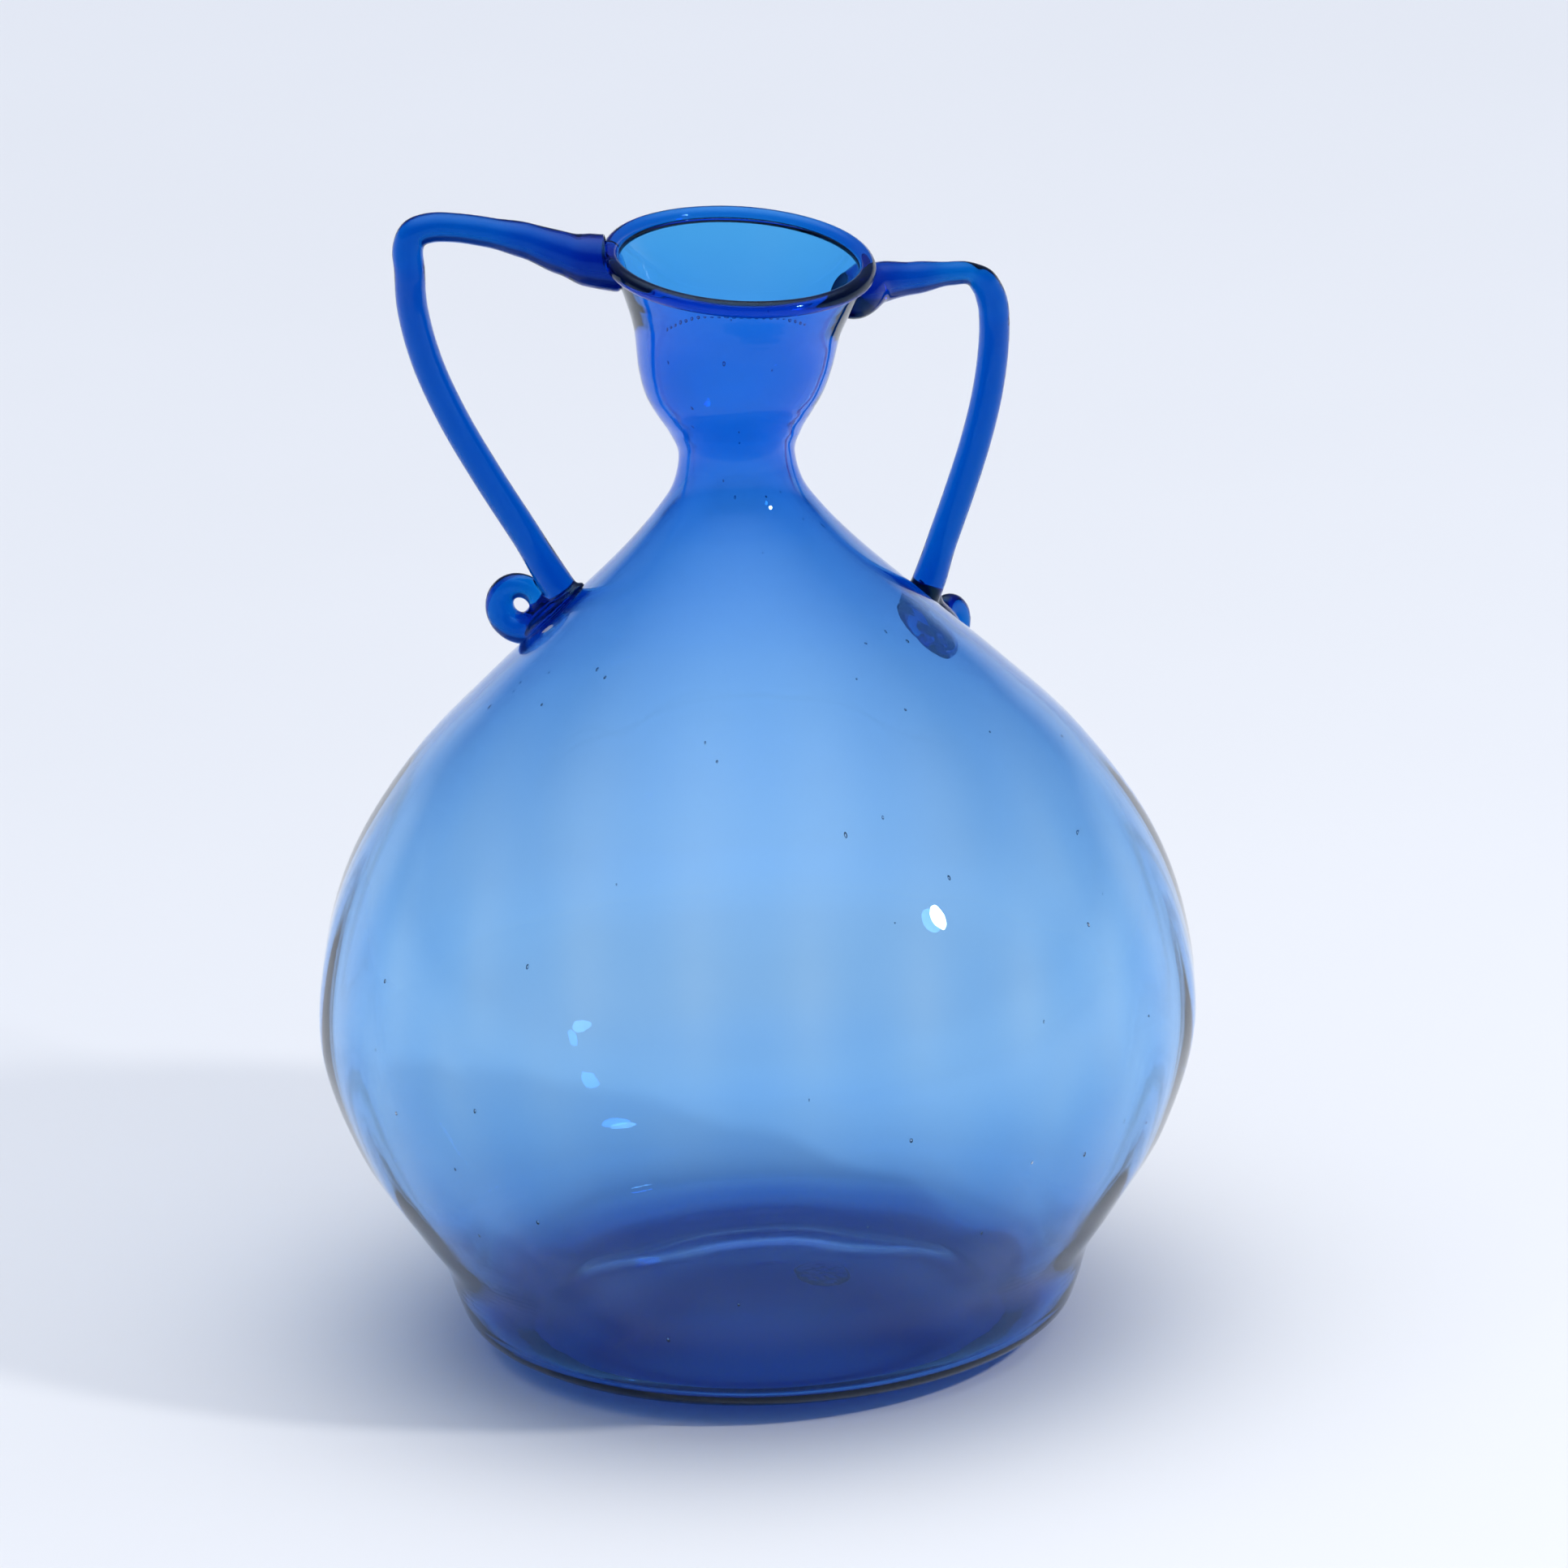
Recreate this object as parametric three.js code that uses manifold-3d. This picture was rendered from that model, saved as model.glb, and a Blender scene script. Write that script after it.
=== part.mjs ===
// Blown glass amphora: a thin-walled bulb with a narrow waist and a flared cup,
// a bead wound round the mouth, two drawn rod handles that end in scrolls on the
// shoulder, and the scar of the punty rod under the base.
// Millimetres, +Z up, origin at the middle of the resting ring.
import * as THREE from "three";
import { mergeVertices } from "three/addons/utils/BufferGeometryUtils.js";
import Module from "manifold-3d";

const wasm = await Module();
wasm.setup();

// ---------------------------------------------------------------- driving sizes
const LIP_HEIGHT = 309.5;         // middle of the mouth bead above the resting plane
const BULB_RADIUS = 122;         // widest outside radius
const RING_RADIUS = 64;          // radius of the ring the vessel rests on
const RING_FLAT = 3;             // width of the worn flat on that ring
const WAIST_RADIUS = 16.2;       // narrowest outside radius, under the cup
const MOUTH_RADIUS = 35.2;       // radius of the bead's centre line
const BEAD_RADIUS = 2.4;         // half the bead's thickness
const KICK_HEIGHT = 12;          // how far the base is pushed in at its middle
const BASE_WALL = 3.4;
const BULB_WALL = 1.7;
const SHOULDER_WALL = 2.1;
const NECK_WALL = 3.3;
const MOUTH_TILT_X = -0.09;      // slope of the hand-finished mouth, left to right
const MOUTH_TILT_Y = 0.08;       // slope of the mouth, front to back
const CUP_LEAN = 2.6;            // how far the cup drifts to +X by the lip
const FIT_GAP = 0.3;             // clearance left where two gathers meet
const ROD_RADIUS = 4.3;          // drawn part of each handle
const SCROLL_ROD_RADIUS = 3.5;   // the same rod where it curls on the shoulder
const SCAR_RADIUS = 10;
const SCAR_DEPTH = 1.3;
const SCAR_OFFSET = [15, -7];    // the punty was not quite centred
const GLASS_BLUE = 0x2f6fd0;
const DEEP_BLUE = 0x0b3ba6;

const RADIAL_SEGMENTS = 48;

// ---------------------------------------------------------------- shared helpers
const smooth = (value, low, high) => THREE.MathUtils.smoothstep(value, low, high);

function namedMesh(geometry, name, colour) {
  const material = new THREE.MeshStandardMaterial({ color: colour, roughness: 0.05, metalness: 0 });
  const mesh = new THREE.Mesh(geometry, material);
  mesh.name = name;
  return mesh;
}

function welded(geometry) {
  const copy = geometry.clone();
  copy.deleteAttribute("normal");
  copy.deleteAttribute("uv");
  return mergeVertices(copy, 1e-4);
}

function signedVolume(geometry) {
  const at = geometry.attributes.position;
  const index = geometry.index.array;
  const a = new THREE.Vector3();
  const b = new THREE.Vector3();
  const c = new THREE.Vector3();
  let sum = 0;
  for (let i = 0; i < index.length; i += 3) {
    a.fromBufferAttribute(at, index[i]);
    b.fromBufferAttribute(at, index[i + 1]);
    c.fromBufferAttribute(at, index[i + 2]);
    sum += a.dot(b.cross(c)) / 6;
  }
  return sum;
}

function facingOut(geometry) {
  if (signedVolume(geometry) < 0) {
    const index = geometry.index.array;
    for (let i = 0; i < index.length; i += 3) {
      const kept = index[i];
      index[i] = index[i + 1];
      index[i + 1] = kept;
    }
  }
  return geometry;
}

function withoutSlivers(geometry) {
  const index = Array.from(geometry.index.array);
  const kept = [];
  for (let i = 0; i < index.length; i += 3) {
    const [a, b, c] = index.slice(i, i + 3);
    if (a !== b && b !== c && a !== c) {
      kept.push(a, b, c);
    }
  }
  geometry.setIndex(kept);
  return geometry;
}

// A profile of [radius, height] points turned about Z.
function turned(profile, segments) {
  const points = profile.map(([radius, height]) => new THREE.Vector2(Math.max(radius, 0), height));
  const lathe = new THREE.LatheGeometry(points, segments);
  lathe.rotateX(Math.PI / 2);
  return facingOut(withoutSlivers(welded(lathe)));
}

function toSolid(geometry) {
  return new wasm.Manifold(new wasm.Mesh({
    numProp: 3,
    vertProperties: new Float32Array(geometry.attributes.position.array),
    triVerts: new Uint32Array(geometry.index.array),
  }));
}

function toGeometry(solid) {
  const mesh = solid.getMesh();
  const geometry = new THREE.BufferGeometry();
  geometry.setAttribute("position", new THREE.BufferAttribute(new Float32Array(mesh.vertProperties), 3));
  geometry.setIndex(Array.from(mesh.triVerts));
  return geometry;
}

// The upper part of the vessel leans and its mouth is not level.
function leaned(point) {
  const share = smooth(point.z, LIP_HEIGHT * 0.86, LIP_HEIGHT);
  const lift = share * (MOUTH_TILT_X * point.x + MOUTH_TILT_Y * point.y);
  return new THREE.Vector3(point.x + CUP_LEAN * share, point.y, point.z + lift);
}

function leanGeometry(geometry) {
  const at = geometry.attributes.position;
  for (let i = 0; i < at.count; i += 1) {
    const moved = leaned(new THREE.Vector3().fromBufferAttribute(at, i));
    at.setXYZ(i, moved.x, moved.y, moved.z);
  }
  return geometry;
}

// ---------------------------------------------------------------- vessel outline
// Share of the lip height, then the outside radius.
const WALL_TOP = LIP_HEIGHT - BEAD_RADIUS - FIT_GAP;
const outsideRows = [
  [0.000, RING_RADIUS + RING_FLAT / 2],
  [0.008, BULB_RADIUS * 0.592],
  [0.024, BULB_RADIUS * 0.686],
  [0.048, BULB_RADIUS * 0.717],
  [0.084, BULB_RADIUS * 0.749],
  [0.129, BULB_RADIUS * 0.827],
  [0.194, BULB_RADIUS * 0.928],
  [0.284, BULB_RADIUS],
  [0.372, BULB_RADIUS * 0.983],
  [0.453, BULB_RADIUS * 0.912],
  [0.533, BULB_RADIUS * 0.779],
  [0.598, BULB_RADIUS * 0.622],
  [0.647, BULB_RADIUS * 0.493],
  [0.686, BULB_RADIUS * 0.389],
  [0.718, BULB_RADIUS * 0.306],
  [0.743, BULB_RADIUS * 0.246],
  [0.769, WAIST_RADIUS * 1.44],
  [0.795, WAIST_RADIUS * 1.12],
  [0.825, WAIST_RADIUS],
  [0.847, WAIST_RADIUS * 1.15],
  [0.866, WAIST_RADIUS * 1.37],
  [0.883, WAIST_RADIUS * 1.54],
  [0.905, WAIST_RADIUS * 1.66],
  [0.937, MOUTH_RADIUS * 0.81],
  [0.963, MOUTH_RADIUS * 0.885],
  [WALL_TOP / LIP_HEIGHT, MOUTH_RADIUS - 0.2],
];
const outsideCurve = new THREE.SplineCurve(
  outsideRows.map(([share, radius]) => new THREE.Vector2(radius, share * LIP_HEIGHT)),
);
const underCurve = new THREE.SplineCurve([
  new THREE.Vector2(0, KICK_HEIGHT),
  new THREE.Vector2(RING_RADIUS * 0.35, KICK_HEIGHT * 0.86),
  new THREE.Vector2(RING_RADIUS * 0.68, KICK_HEIGHT * 0.44),
  new THREE.Vector2(RING_RADIUS * 0.90, KICK_HEIGHT * 0.09),
  new THREE.Vector2(RING_RADIUS - RING_FLAT / 2, 0),
]);

const wallRows = [
  [0.00, BASE_WALL],
  [0.05, BULB_WALL * 1.5],
  [0.20, BULB_WALL],
  [0.50, BULB_WALL],
  [0.65, SHOULDER_WALL],
  [0.75, SHOULDER_WALL * 1.1],
  [0.83, NECK_WALL],
  [1.00, NECK_WALL],
];

function fromRows(rows, at) {
  const next = rows.findIndex(([place]) => place > at);
  if (next <= 0) {
    return next === 0 ? rows[0][1] : rows[rows.length - 1][1];
  }
  const [lowPlace, low] = rows[next - 1];
  const [highPlace, high] = rows[next];
  return low + (high - low) * smooth(at, lowPlace, highPlace);
}

// Points along a curve of the outline, each moved square to it by a distance.
function offsetCurve(curve, count, distance) {
  const out = [];
  for (let i = 0; i <= count; i += 1) {
    const share = THREE.MathUtils.lerp(i / count, curve.getUtoTmapping(i / count), 0.4);
    const point = curve.getPoint(share);
    const along = curve.getTangent(share);
    const by = distance(point);
    out.push([point.x + along.y * by, point.y - along.x * by]);
  }
  return out;
}

const UNDER_STEPS = 7;
const OUTSIDE_STEPS = 46;
const underOutside = offsetCurve(underCurve, UNDER_STEPS, () => 0);
const outside = offsetCurve(outsideCurve, OUTSIDE_STEPS, () => 0);
const inside = offsetCurve(outsideCurve, OUTSIDE_STEPS, (p) => -fromRows(wallRows, p.y / LIP_HEIGHT))
  .filter(([, height]) => height > BASE_WALL + KICK_HEIGHT * 0.4)
  .map(([radius, height]) => [radius, Math.min(height, WALL_TOP)]);
const underInside = offsetCurve(underCurve, UNDER_STEPS, () => 0)
  .map(([radius, height]) => [radius, height + BASE_WALL])
  .slice(0, -1);

function outsideRadiusAt(height) {
  let low = 0.02;
  let high = 1;
  for (let i = 0; i < 40; i += 1) {
    const middle = (low + high) / 2;
    if (outsideCurve.getPoint(middle).y < height) {
      low = middle;
    } else {
      high = middle;
    }
  }
  return outsideCurve.getPoint(low).x;
}

// ---------------------------------------------------------------- vessel body
const bodyProfile = [
  ...underOutside,
  ...outside,
  ...inside.reverse(),
  ...underInside.reverse(),
];
bodyProfile[0][0] = 0;
bodyProfile[bodyProfile.length - 1][0] = 0;
const body = leanGeometry(turned(bodyProfile, RADIAL_SEGMENTS));

// ---------------------------------------------------------------- mouth bead
const BEAD_POINTS = 14;
function ringProfile(thickness) {
  const points = [];
  for (let i = 0; i <= BEAD_POINTS; i += 1) {
    const turn = (i / BEAD_POINTS) * Math.PI * 2;
    points.push([
      MOUTH_RADIUS + thickness * Math.cos(turn),
      LIP_HEIGHT + thickness * Math.sin(turn),
    ]);
  }
  points[BEAD_POINTS] = [...points[0]];
  return points;
}
const bead = leanGeometry(turned(ringProfile(BEAD_RADIUS), RADIAL_SEGMENTS));

// ---------------------------------------------------------------- space kept clear of handles
const clearProfile = [
  [0, 0],
  ...offsetCurve(outsideCurve, OUTSIDE_STEPS, () => FIT_GAP),
  [MOUTH_RADIUS + FIT_GAP, WALL_TOP + FIT_GAP],
  [MOUTH_RADIUS + FIT_GAP, LIP_HEIGHT * 1.1],
  [0, LIP_HEIGHT * 1.1],
];
const clearBody = toSolid(leanGeometry(turned(clearProfile, RADIAL_SEGMENTS)));
const clearBead = toSolid(leanGeometry(turned(ringProfile(BEAD_RADIUS + FIT_GAP), RADIAL_SEGMENTS)));

// ---------------------------------------------------------------- handles
// A rod with a radius at every point of its path, rounded at both ends.
function rodAlong(path, steps, sides) {
  const curve = new THREE.CatmullRomCurve3(path.map((row) => row.at), false, "centripetal");
  const frames = curve.computeFrenetFrames(steps, false);
  const last = path.length - 1;
  const radiusAt = (share) => {
    const place = Math.min(curve.getUtoTmapping(share) * last, last - 1e-6);
    const from = Math.floor(place);
    return THREE.MathUtils.lerp(path[from].radius, path[from + 1].radius, smooth(place - from, 0, 1));
  };
  const length = curve.getLength();
  const profile = [[0, 0]];
  for (let i = 0; i <= steps; i += 1) {
    const share = i / steps;
    const fromEnd = Math.min(share, 1 - share) * length;
    const radius = radiusAt(share);
    const round = fromEnd < radius ? Math.sqrt(1 - (1 - fromEnd / radius) ** 2) : 1;
    profile.push([Math.max(radius * round, radius * 0.12), i]);
  }
  profile.push([0, steps]);
  const rod = turned(profile, sides);
  const at = rod.attributes.position;
  for (let i = 0; i < at.count; i += 1) {
    const step = Math.min(Math.max(Math.round(at.getZ(i)), 0), steps);
    const point = curve.getPointAt(step / steps);
    point.addScaledVector(frames.normals[step], at.getX(i));
    point.addScaledVector(frames.binormals[step], at.getY(i));
    at.setXYZ(i, point.x, point.y, point.z);
  }
  return facingOut(rod);
}

function aroundAxis(radius, azimuth, height) {
  const turn = THREE.MathUtils.degToRad(azimuth);
  return new THREE.Vector3(radius * Math.cos(turn), radius * Math.sin(turn), height);
}

// Two directions on the shoulder at an azimuth and a height: down its slope and
// square out of it, and the point of the surface they start from.
function shoulderFrame(azimuth, height) {
  const reach = 2;
  const slope = (outsideRadiusAt(height - reach) - outsideRadiusAt(height + reach)) / (2 * reach);
  const down = aroundAxis(slope, azimuth, -1).normalize();
  const outwards = aroundAxis(1, azimuth, slope).normalize();
  const surface = aroundAxis(outsideRadiusAt(height), azimuth, height);
  const at = (along, away) => surface.clone()
    .addScaledVector(down, along)
    .addScaledVector(outwards, away);
  return { down, outwards, at };
}

// The rod leaves the mouth, turns down at an elbow, lands on the shoulder, and
// rolls outwards into a scroll.
function handle(shape) {
  const lipLevel = leaned(aroundAxis(MOUTH_RADIUS, shape.lipAzimuth, LIP_HEIGHT)).z;
  const rodPath = shape.arm.map(([reach, rise, radius]) => ({
    at: aroundAxis(MOUTH_RADIUS + reach, shape.lipAzimuth, lipLevel + rise),
    radius,
  }));
  const elbow = rodPath[rodPath.length - 1].at;
  const foot = shoulderFrame(shape.footAzimuth, LIP_HEIGHT * shape.footShare);
  const landing = foot.at(0, ROD_RADIUS);
  for (const share of [0.14, 0.32, 0.5, 0.68, 0.85]) {
    const bulge = 4 * share * (1 - share) * (1 - 0.7 * share ** 2) * shape.bow;
    const point = elbow.clone().lerp(landing, share);
    point.add(aroundAxis(bulge, shape.footAzimuth, bulge * 0.3));
    rodPath.push({ at: point, radius: ROD_RADIUS });
  }
  rodPath.push({ at: landing, radius: ROD_RADIUS });
  rodPath.push({ at: foot.at(1, -ROD_RADIUS), radius: ROD_RADIUS });

  // The end of the rod runs down the shoulder and rolls up on itself.
  const scroll = shoulderFrame(shape.scrollAzimuth, LIP_HEIGHT * shape.scrollShare);
  const start = foot.at(1, ROD_RADIUS * 0.5);
  const touch = scroll.at(0, shape.scrollAway - shape.scrollRadius);
  const scrollPath = [0, 0.35, 0.7].map((share) => ({
    at: start.clone().lerp(touch, share),
    radius: SCROLL_ROD_RADIUS,
  }));
  for (const degrees of [-90, -55, -20, 15, 50, 85, 120, 150, 176]) {
    const turn = THREE.MathUtils.degToRad(degrees);
    scrollPath.push({
      at: scroll.at(
        shape.scrollRadius * Math.cos(turn),
        shape.scrollAway + shape.scrollRadius * Math.sin(turn),
      ),
      radius: SCROLL_ROD_RADIUS * (degrees > 130 ? 0.78 : 1),
    });
  }

  // The hot end spreads into a low pad where it is pressed on the shoulder.
  const pad = welded(new THREE.SphereGeometry(1, 20, 12));
  const along = touch.clone().sub(start).normalize();
  const square = foot.outwards.clone().add(scroll.outwards);
  square.addScaledVector(along, -square.dot(along)).normalize();
  const across = new THREE.Vector3().crossVectors(square, along);
  const middle = start.clone().lerp(touch, 0.5).addScaledVector(square, -ROD_RADIUS * 0.35);
  const stretch = new THREE.Matrix4().makeBasis(
    along.multiplyScalar(shape.padLength / 2),
    across.multiplyScalar(shape.padWidth / 2),
    square.clone().multiplyScalar(ROD_RADIUS * 0.85),
  );
  stretch.setPosition(middle);
  pad.applyMatrix4(stretch);

  const solid = toSolid(rodAlong(rodPath, 52, 12))
    .add(toSolid(rodAlong(scrollPath, 30, 12)))
    .add(toSolid(facingOut(withoutSlivers(pad))))
    .subtract(clearBody)
    .subtract(clearBead);
  return toGeometry(solid);
}

// Each arm row: reach from the mouth's centre line, rise above the mouth there,
// and the rod's radius.
const leftHandle = handle({
  lipAzimuth: 180,
  arm: [
    [-8, -1.6, 7.4],
    [1, -0.9, 7.2],
    [9, 1, 6.2],
    [20, 5.1, 5],
    [30, 7.8, 4.2],
    [39, 9.5, 4.1],
    [46, 9.8, 4.2],
    [50.6, 8.2, 4.3],
    [52.4, 4, 4.3],
    [52.2, -1.6, 4.3],
  ],
  bow: 11,
  footAzimuth: 161,
  footShare: 0.676,
  scrollAzimuth: 161,
  scrollShare: 0.648,
  scrollRadius: 6,
  scrollAway: 7.2,
  padLength: 25,
  padWidth: 15,
});
const rightHandle = handle({
  lipAzimuth: 26,
  arm: [
    [-7, -13.8, 6.8],
    [1.7, -13.1, 6.4],
    [10, -12.1, 5.4],
    [21, -12.8, 4.4],
    [32, -13.2, 3],
    [38.5, -14.3, 3.2],
    [42.6, -17.6, 4],
    [45, -23.5, 4.3],
    [45.4, -28.5, 4.3],
  ],
  bow: 6.4,
  footAzimuth: 39,
  footShare: 0.64,
  scrollAzimuth: 49,
  scrollShare: 0.575,
  scrollRadius: 5.2,
  scrollAway: 5.4,
  padLength: 36,
  padWidth: 20,
});

// ---------------------------------------------------------------- punty scar
// A thin button of glass that follows the underside of the pushed-in base.
const scarDisc = turned([
  [0, 0],
  [SCAR_RADIUS, 0],
  [SCAR_RADIUS * 0.86, KICK_HEIGHT * 2],
  [0, KICK_HEIGHT * 2],
], 28);
scarDisc.translate(SCAR_OFFSET[0], SCAR_OFFSET[1], 0);
function underLevel(depth) {
  return turned([
    ...underOutside.map(([radius, height]) => [radius, height - depth]),
    [RING_RADIUS, -KICK_HEIGHT],
    [0, -KICK_HEIGHT],
  ], RADIAL_SEGMENTS);
}
const scar = toGeometry(
  toSolid(scarDisc)
    .intersect(toSolid(underLevel(FIT_GAP)))
    .subtract(toSolid(underLevel(FIT_GAP + SCAR_DEPTH))),
);

// ---------------------------------------------------------------- assembly
const group = new THREE.Group();
group.name = "amphora";
group.add(namedMesh(body, "vessel_body", GLASS_BLUE));
group.add(namedMesh(bead, "mouth_bead", GLASS_BLUE));
group.add(namedMesh(leftHandle, "left_handle", DEEP_BLUE));
group.add(namedMesh(rightHandle, "right_handle", DEEP_BLUE));
group.add(namedMesh(scar, "punty_scar", GLASS_BLUE));

export default group;
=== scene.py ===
import math
import random

import bmesh
import bpy
import numpy as np
from mathutils import Matrix, Vector, noise


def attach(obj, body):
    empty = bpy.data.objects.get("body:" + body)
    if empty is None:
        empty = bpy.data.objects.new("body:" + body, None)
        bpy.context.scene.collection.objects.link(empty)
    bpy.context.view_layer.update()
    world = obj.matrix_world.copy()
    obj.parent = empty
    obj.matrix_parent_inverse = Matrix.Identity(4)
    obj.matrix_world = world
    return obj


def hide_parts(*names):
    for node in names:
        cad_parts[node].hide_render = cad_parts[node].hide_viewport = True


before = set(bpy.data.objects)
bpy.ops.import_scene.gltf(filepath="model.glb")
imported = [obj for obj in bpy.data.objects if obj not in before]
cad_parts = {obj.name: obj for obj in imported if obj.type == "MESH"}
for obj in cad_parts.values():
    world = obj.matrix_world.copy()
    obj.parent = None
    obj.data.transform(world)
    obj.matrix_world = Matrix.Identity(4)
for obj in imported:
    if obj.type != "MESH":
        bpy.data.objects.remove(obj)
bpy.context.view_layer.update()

# ---------------------------------------------------------------- vessel body
# The blown bubble: one gather of pale blue glass, first puffed in a ribbed mould,
# then blown out into a thin bulb. The neck is pulled thin under a flared cup, and
# the base is pushed in to leave the ring that the vessel rests on.
MM = 0.001
LIP_HEIGHT = 309.5
BULB_RADIUS = 122.0
RING_RADIUS = 64.0
RING_FLAT = 3.0
WAIST_RADIUS = 16.2
MOUTH_RADIUS = 35.2
BEAD_RADIUS = 2.4
KICK_HEIGHT = 12.0
BASE_WALL = 3.4
BULB_WALL = 1.7
SHOULDER_WALL = 2.1
NECK_WALL = 3.3
MOUTH_TILT_X, MOUTH_TILT_Y = -0.09, 0.08
CUP_LEAN = 2.6
LEAN_FROM = 0.86
FUSED = 0.3
WALL_TOP = LIP_HEIGHT - BEAD_RADIUS + FUSED
LIP_WALL = 2.3
TURN_STEPS = 168
FINE_ROWS_FROM = 228.0

outline_rows = [
    (0.000, RING_RADIUS + RING_FLAT / 2), (0.008, BULB_RADIUS * 0.592),
    (0.024, BULB_RADIUS * 0.686), (0.048, BULB_RADIUS * 0.717),
    (0.084, BULB_RADIUS * 0.749), (0.129, BULB_RADIUS * 0.827),
    (0.194, BULB_RADIUS * 0.928), (0.284, BULB_RADIUS),
    (0.372, BULB_RADIUS * 0.983), (0.453, BULB_RADIUS * 0.912),
    (0.533, BULB_RADIUS * 0.779), (0.598, BULB_RADIUS * 0.622),
    (0.647, BULB_RADIUS * 0.493), (0.686, BULB_RADIUS * 0.389),
    (0.718, BULB_RADIUS * 0.306), (0.743, BULB_RADIUS * 0.246),
    (0.769, WAIST_RADIUS * 1.44), (0.795, WAIST_RADIUS * 1.12),
    (0.825, WAIST_RADIUS), (0.847, WAIST_RADIUS * 1.15),
    (0.866, WAIST_RADIUS * 1.37), (0.883, WAIST_RADIUS * 1.54),
    (0.905, WAIST_RADIUS * 1.66), (0.937, MOUTH_RADIUS * 0.81),
    (0.963, MOUTH_RADIUS * 0.885), (WALL_TOP / LIP_HEIGHT, MOUTH_RADIUS - 0.2),
]
under_rows = [
    (0.0, KICK_HEIGHT), (RING_RADIUS * 0.35, KICK_HEIGHT * 0.86),
    (RING_RADIUS * 0.68, KICK_HEIGHT * 0.44), (RING_RADIUS * 0.90, KICK_HEIGHT * 0.09),
    (RING_RADIUS - RING_FLAT / 2, 0.0),
]
wall_rows = [
    (0.00, BASE_WALL), (0.05, BULB_WALL * 1.5), (0.20, BULB_WALL), (0.50, BULB_WALL),
    (0.65, SHOULDER_WALL), (0.75, SHOULDER_WALL * 1.1), (0.83, NECK_WALL), (0.93, NECK_WALL),
    (1.00, LIP_WALL),
]


def smooth(value, low, high):
    share = min(max((value - low) / (high - low), 0.0), 1.0)
    return share * share * (3 - 2 * share)


def through_rows(rows, per_span):
    """Points of a uniform Catmull-Rom spline through rows of (a, b)."""
    last = len(rows) - 1
    points = []
    for index in range(last):
        before, start = rows[max(index - 1, 0)], rows[index]
        end, after = rows[index + 1], rows[min(index + 2, last)]
        for step in range(per_span):
            t = step / per_span
            points.append(tuple(
                0.5 * (2 * q + (r - p) * t + (2 * p - 5 * q + 4 * r - s) * t * t
                       + (3 * q - p - 3 * r + s) * t * t * t)
                for p, q, r, s in zip(before, start, end, after)))
    points.append(tuple(rows[last]))
    return points


def respaced(points, spacing):
    """The same line with points as far apart as spacing(height) says."""
    line = np.array(points)
    run = np.concatenate([[0], np.cumsum(np.hypot(*np.diff(line, axis=0).T))])
    places, at = [0.0], 0.0
    while at < run[-1]:
        at += spacing(np.interp(at, run, line[:, 1]))
        places.append(min(at, run[-1]))
    if places[-1] - places[-2] < 0.3:
        places.pop(-2)
    return np.stack([np.interp(places, run, line[:, 0]), np.interp(places, run, line[:, 1])], 1)


def wall_at(height):
    share = height / LIP_HEIGHT
    for (low, thin), (high, thick) in zip(wall_rows, wall_rows[1:]):
        if share <= high:
            return thin + (thick - thin) * smooth(share, low, high)
    return wall_rows[-1][1]


def square_to(line):
    """Directions square to a line of (radius, height), pointing away from the axis."""
    along = np.gradient(line, axis=0)
    along /= np.linalg.norm(along, axis=1, keepdims=True)
    return np.stack([along[:, 1], -along[:, 0]], 1)


outline = [(radius, share * LIP_HEIGHT) for radius, share in
           through_rows([(radius, share) for share, radius in outline_rows], 24)]
outside = respaced(outline, lambda z: 0.9 if z < 6 else 2.4 if z < FINE_ROWS_FROM else 1.1)
walls = np.array([[wall_at(z)] for z in outside[:, 1]])
inside = outside - square_to(outside) * walls
inside = inside[inside[:, 1] > BASE_WALL + KICK_HEIGHT * 0.4]
inside = inside[inside[:, 1] < LIP_HEIGHT - 0.8]
lip_cap = [(MOUTH_RADIUS + (BEAD_RADIUS - FUSED) * math.cos(math.radians(degrees)),
            LIP_HEIGHT + (BEAD_RADIUS - FUSED) * math.sin(math.radians(degrees)))
           for degrees in range(-105, -180, -12)]
lip_cap.append((MOUTH_RADIUS - BEAD_RADIUS - 0.06, LIP_HEIGHT - 0.4))
underside = respaced(through_rows(under_rows, 24), lambda z: 3.0)
floor_inside = underside[:-1] + [0.0, BASE_WALL]


def leaned(point):
    """The cup drifts to the right and its mouth is not level."""
    share = smooth(point.z, LIP_HEIGHT * LEAN_FROM, LIP_HEIGHT)
    lift = share * (MOUTH_TILT_X * point.x + MOUTH_TILT_Y * point.y)
    return Vector((point.x + CUP_LEAN * share, point.y, point.z + lift))


RIB_COUNT = 22
RIB_DEPTH = 0.62
TWIST = 0.35
DRIFT = 0.22
WALL_EASE = 0.05
RIBS_START, RIBS_FULL, RIBS_FADE, RIBS_END = 14, 60, 120, 190
RINGS_START, RINGS_FULL = 225, 250
STRIA_DEPTH = 0.035


def taken_off(angle, height, outer=True):
    """How much a perfect turning loses to mould ribs, drift and tool rings."""
    ribs = smooth(height, RIBS_START, RIBS_FULL) * (1 - smooth(height, RIBS_FADE, RIBS_END))
    off = RIB_DEPTH * ribs * (0.5 + 0.5 * math.cos(RIB_COUNT * angle + TWIST * height / 60))
    where = Vector((math.cos(angle), math.sin(angle), height / 90)) * 1.3
    off += WALL_EASE + DRIFT * (0.5 + 0.5 * noise.noise(where + Vector((0, 0, 0 if outer else 9))))
    rings = smooth(height, RINGS_START, RINGS_FULL)
    off += STRIA_DEPTH * rings * (1 + noise.noise(Vector((angle * 0.4, 3, height * 1.1))))
    return off * (1 if outer else 0.5) * smooth(height, 0.5, 12)


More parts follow.
